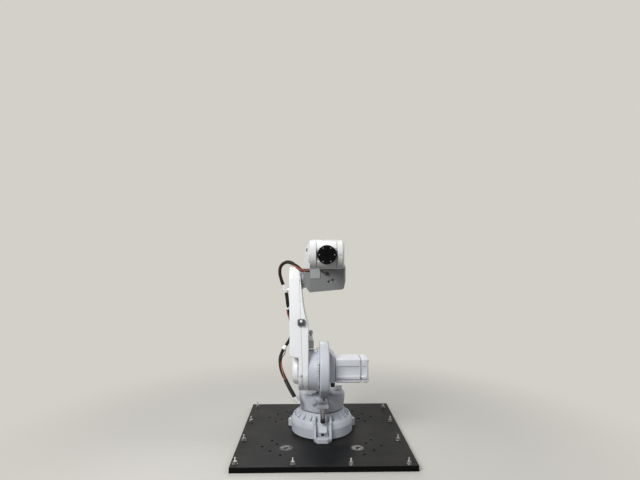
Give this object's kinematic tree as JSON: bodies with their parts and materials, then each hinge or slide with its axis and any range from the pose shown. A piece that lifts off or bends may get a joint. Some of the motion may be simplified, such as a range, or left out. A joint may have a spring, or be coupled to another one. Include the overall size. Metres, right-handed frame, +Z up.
{
  "type": "industrial robot arm",
  "caption": "Floor-standing jointed robot arm: round webbed base on a square steel plate, turning column, side-mounted lower arm, boxed elbow, tubular forearm and wrist with a tool disc.",
  "frame": {"origin": "on the floor under the plate, on the axis of the turning column", "axes": "+Z up along the column axis; the arm faces -Y, and +X is to the right seen from the front"},
  "size_m": [1.15, 1.585, 1.4163],
  "materials": {
    "casting_paint": "satin pale paint on iron and aluminium castings",
    "housing_paint": "satin grey paint",
    "plate_steel": "worn dark paint on rolled steel plate",
    "bright_steel": "ground bright steel",
    "disc_steel": "blackened steel",
    "black_plastic": "matte black",
    "white_plastic": "satin white",
    "buffer_rubber": "matte dark rubber",
    "hose_sleeve": "woven black sleeve",
    "lamp_lens": "milky white lens"
  },
  "bodies": {
    "base": {"base_plate": "plate_steel", "base_casting": "casting_paint", "connector_panel": "bright_steel"},
    "column": {"turret_casting": "casting_paint", "stop_pin": "bright_steel", "stop_pin_buffer": "buffer_rubber", "axis_1_motor": "casting_paint", "reducer_housing": "casting_paint", "axis_2_motor_flange": "casting_paint", "axis_2_motor": "casting_paint", "axis_2_motor_cap": "casting_paint", "axis_2_motor_plug": "black_plastic", "column_plug": "white_plastic", "hose_gland": "white_plastic"},
    "lower_arm": {"lower_arm_beam": "casting_paint", "hub_cap": "casting_paint", "arm_lamp": "black_plastic", "arm_lamp_lens": "lamp_lens", "buffer_block": "buffer_rubber", "stop_bracket": "casting_paint", "stop_buffer": "buffer_rubber", "hose_clamp_upper": "black_plastic", "hose_clamp_rear": "black_plastic", "dress_hose": "hose_sleeve"},
    "elbow": {"elbow_housing": "housing_paint", "forearm_housing": "casting_paint", "gear_cover": "casting_paint", "junction_plate": "housing_paint", "front_connector": "black_plastic", "front_knob": "black_plastic", "axis_4_motor": "casting_paint", "axis_5_motor": "casting_paint", "axis_6_motor": "casting_paint", "forearm_collar": "casting_paint", "dress_hose_tail": "hose_sleeve"},
    "forearm": {"forearm_tube": "casting_paint", "wrist_cap_left": "casting_paint", "wrist_cap_right": "casting_paint"},
    "wrist": {"wrist_housing": "casting_paint"},
    "tool_disc": {"turning_disc": "disc_steel"}
  },
  "joints": [
    {"name": "axis_1_column", "type": "hinge", "parent": "base", "child": "column", "pos_m": [0, 0, 0.1953], "axis": [0, 0, 1], "range_deg": [-180, 180]},
    {"name": "axis_2_lower_arm", "type": "hinge", "parent": "column", "child": "lower_arm", "pos_m": [0, -0.15, 0.5033], "axis": [1, 0, 0], "range_deg": [-95, 115]},
    {"name": "axis_3_elbow", "type": "hinge", "parent": "lower_arm", "child": "elbow", "pos_m": [0, -0.15, 1.1333], "axis": [-1, 0, 0], "range_deg": [-75, 180]},
    {"name": "axis_4_forearm", "type": "hinge", "parent": "elbow", "child": "forearm", "pos_m": [0, -0.27, 1.3073], "axis": [0, -1, 0], "range_deg": [-400, 400]},
    {"name": "axis_5_wrist", "type": "hinge", "parent": "forearm", "child": "wrist", "pos_m": [0, -0.945, 1.3073], "axis": [-1, 0, 0], "range_deg": [-120, 120]},
    {"name": "axis_6_disc", "type": "hinge", "parent": "wrist", "child": "tool_disc", "pos_m": [0, -1.02, 1.3073], "axis": [0, -1, 0], "range_deg": [-400, 400]}
  ]
}
